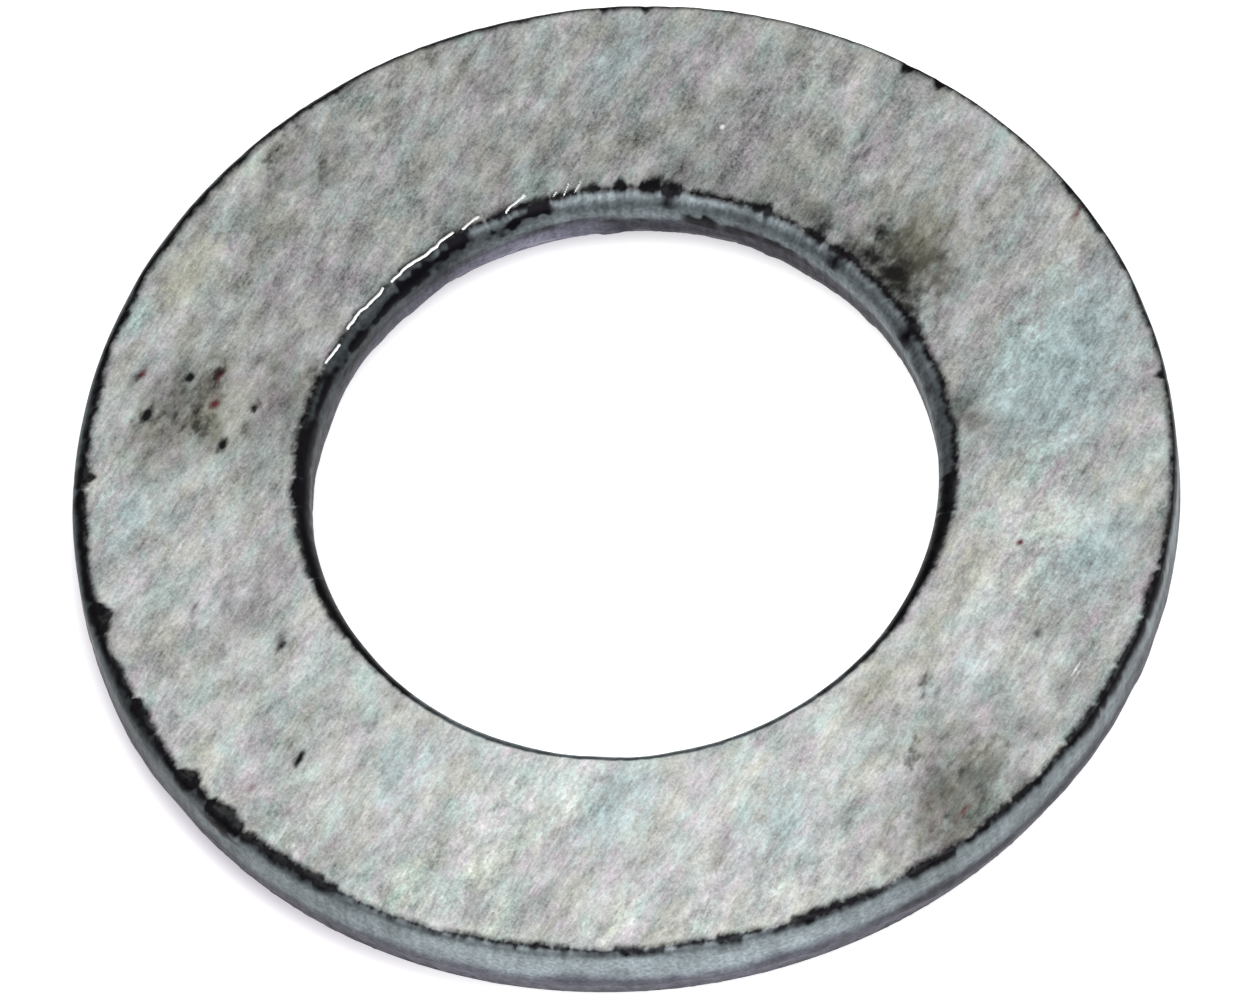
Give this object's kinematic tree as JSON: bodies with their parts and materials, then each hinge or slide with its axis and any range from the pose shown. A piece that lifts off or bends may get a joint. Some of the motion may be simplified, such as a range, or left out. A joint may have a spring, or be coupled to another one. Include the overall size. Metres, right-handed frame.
{
  "type": "flat washer",
  "caption": "Plain round flat washer stamped from steel and zinc plated: a thin ring that spreads a bolt head's or nut's load round its hole.",
  "frame": {"origin": "centre of the bore in the lower bearing face, the face with the tumbled edges", "axes": "+Z along the bore axis, from the lower bearing face to the face with the rolled-in edges"},
  "size_m": [0.037, 0.037, 0.0031],
  "materials": {
    "zinc_plated_steel": "zinc electroplate, clear passivated, satin with fine rolling scratches"
  },
  "bodies": {
    "root": {"washer": "zinc_plated_steel"}
  },
  "joints": []
}
